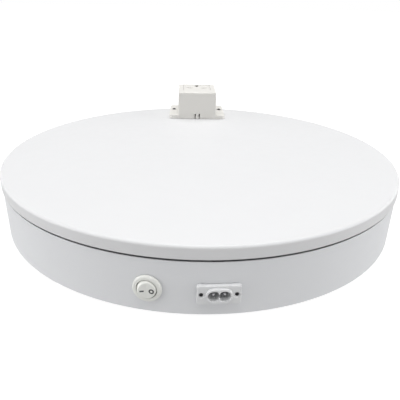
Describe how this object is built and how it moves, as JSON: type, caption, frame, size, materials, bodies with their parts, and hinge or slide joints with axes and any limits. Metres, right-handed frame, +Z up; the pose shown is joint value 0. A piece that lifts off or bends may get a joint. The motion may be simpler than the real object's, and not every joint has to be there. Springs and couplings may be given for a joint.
{
  "type": "motorised display turntable",
  "caption": "Round motorised display turntable: a flat disc turns on a drum base with a rocker switch and mains inlet, and carries a power outlet on its rear edge.",
  "frame": {"origin": "on the surface the feet stand on, below the axis the disc turns about", "axes": "+Z up along the spindle, -Y out of the mains inlet, and the outlet near +Y"},
  "size_m": [0.42, 0.4244, 0.1007],
  "materials": {
    "shell_white": "satin white moulded plastic",
    "fitting_white": "smooth off-white plastic",
    "outlet_white": "satin warm-white plastic",
    "shutter_grey": "matt grey plastic",
    "rubber_black": "matt",
    "bright_steel": "turned and nickel-plated",
    "motor_steel": "zinc-plated, satin",
    "dark_screws": "black oxide",
    "brass": "satin",
    "gear_plastic": "natural acetal",
    "phenolic": "moulded phenolic, matt",
    "insulation_brown": "PVC insulation",
    "insulation_blue": "PVC insulation",
    "insulation_grey": "PVC sheath"
  },
  "bodies": {
    "base": {"base_shell": "shell_white", "bottom_cover": "shell_white", "switch_body": "fitting_white", "inlet_body": "fitting_white", "foot_1": "rubber_black", "foot_2": "rubber_black", "foot_3": "rubber_black", "foot_4": "rubber_black", "spindle": "bright_steel", "spindle_nut": "bright_steel", "bearing_lower_washer": "bright_steel", "inlet_pin_left": "bright_steel", "inlet_pin_right": "bright_steel", "roller_axle_1": "bright_steel", "roller_axle_2": "bright_steel", "roller_axle_3": "bright_steel", "roller_axle_4": "bright_steel", "cover_screw_1": "bright_steel", "cover_screw_2": "bright_steel", "cover_screw_3": "bright_steel", "cover_screw_4": "bright_steel", "motor": "motor_steel", "motor_screw_1": "dark_screws", "motor_screw_2": "dark_screws", "inlet_screw_left": "dark_screws", "inlet_screw_right": "dark_screws", "brush_finger_live": "brass", "brush_finger_neutral": "brass", "brush_block": "phenolic", "wire_inlet_switch": "insulation_brown", "wire_switch_brush": "insulation_brown", "wire_inlet_brush": "insulation_blue", "motor_lead": "insulation_grey"},
    "turntable": {"disc": "shell_white", "drive_gear": "gear_plastic", "gear_screw_1": "dark_screws", "gear_screw_2": "dark_screws", "gear_screw_3": "dark_screws", "bearing_upper_washer": "bright_steel", "retaining_clip": "bright_steel", "slip_ring_carrier": "phenolic", "slip_ring_live": "brass", "slip_ring_neutral": "brass", "outlet_cover": "outlet_white", "outlet_insert": "outlet_white", "outlet_base": "outlet_white", "outlet_contact_live": "brass", "outlet_contact_neutral": "brass", "outlet_contact_earth": "brass", "outlet_screw_left": "dark_screws", "outlet_screw_right": "dark_screws", "outlet_lead": "insulation_grey"},
    "pinion": {"motor_pinion": "bright_steel"},
    "ball_cage": {"bearing_cage": "brass"},
    "rocker": {"switch_rocker": "fitting_white"},
    "shutter": {"outlet_shutter": "shutter_grey"},
    "roller_1": {"roller_wheel_1": "gear_plastic"},
    "roller_2": {"roller_wheel_2": "gear_plastic"},
    "roller_3": {"roller_wheel_3": "gear_plastic"},
    "roller_4": {"roller_wheel_4": "gear_plastic"}
  },
  "joints": [
    {"name": "turntable_spin", "type": "hinge", "parent": "base", "child": "turntable", "pos_m": [0, 0, 0], "axis": [0, 0, 1], "continuous": true},
    {"name": "pinion_spin", "type": "hinge", "parent": "base", "child": "pinion", "pos_m": [0.084, 0, 0.041], "axis": [0, 0, 1], "continuous": true},
    {"name": "ball_cage_spin", "type": "hinge", "parent": "base", "child": "ball_cage", "pos_m": [0, 0, 0.0271], "axis": [0, 0, 1], "continuous": true},
    {"name": "roller_1_spin", "type": "hinge", "parent": "base", "child": "roller_1", "pos_m": [0.12021, 0.12021, 0.0373], "axis": [0.7071, 0.7071, 0], "continuous": true},
    {"name": "roller_2_spin", "type": "hinge", "parent": "base", "child": "roller_2", "pos_m": [-0.12021, 0.12021, 0.0373], "axis": [-0.7071, 0.7071, 0], "continuous": true},
    {"name": "roller_3_spin", "type": "hinge", "parent": "base", "child": "roller_3", "pos_m": [-0.12021, -0.12021, 0.0373], "axis": [-0.7071, -0.7071, 0], "continuous": true},
    {"name": "roller_4_spin", "type": "hinge", "parent": "base", "child": "roller_4", "pos_m": [0.12021, -0.12021, 0.0373], "axis": [0.7071, -0.7071, 0], "continuous": true},
    {"name": "rocker_tilt", "type": "hinge", "parent": "base", "child": "rocker", "pos_m": [-0.05325, -0.20298, 0.0248], "axis": [0, 0, 1], "range_deg": [-18, 0]},
    {"name": "shutter_slide", "type": "slide", "parent": "turntable", "child": "shutter", "axis": [-0.0366, -0.9993, 0], "range_m": [0, 0.0086], "stiffness_N_per_m": 60, "springref_m": -0.002}
  ],
  "couplings": [
    {"joint": "pinion_spin", "follows": "turntable_spin", "ratio": -5},
    {"joint": "ball_cage_spin", "follows": "turntable_spin", "ratio": 0.5},
    {"joint": "roller_1_spin", "follows": "turntable_spin", "ratio": -12.143},
    {"joint": "roller_2_spin", "follows": "turntable_spin", "ratio": -12.143},
    {"joint": "roller_3_spin", "follows": "turntable_spin", "ratio": -12.143},
    {"joint": "roller_4_spin", "follows": "turntable_spin", "ratio": -12.143}
  ]
}
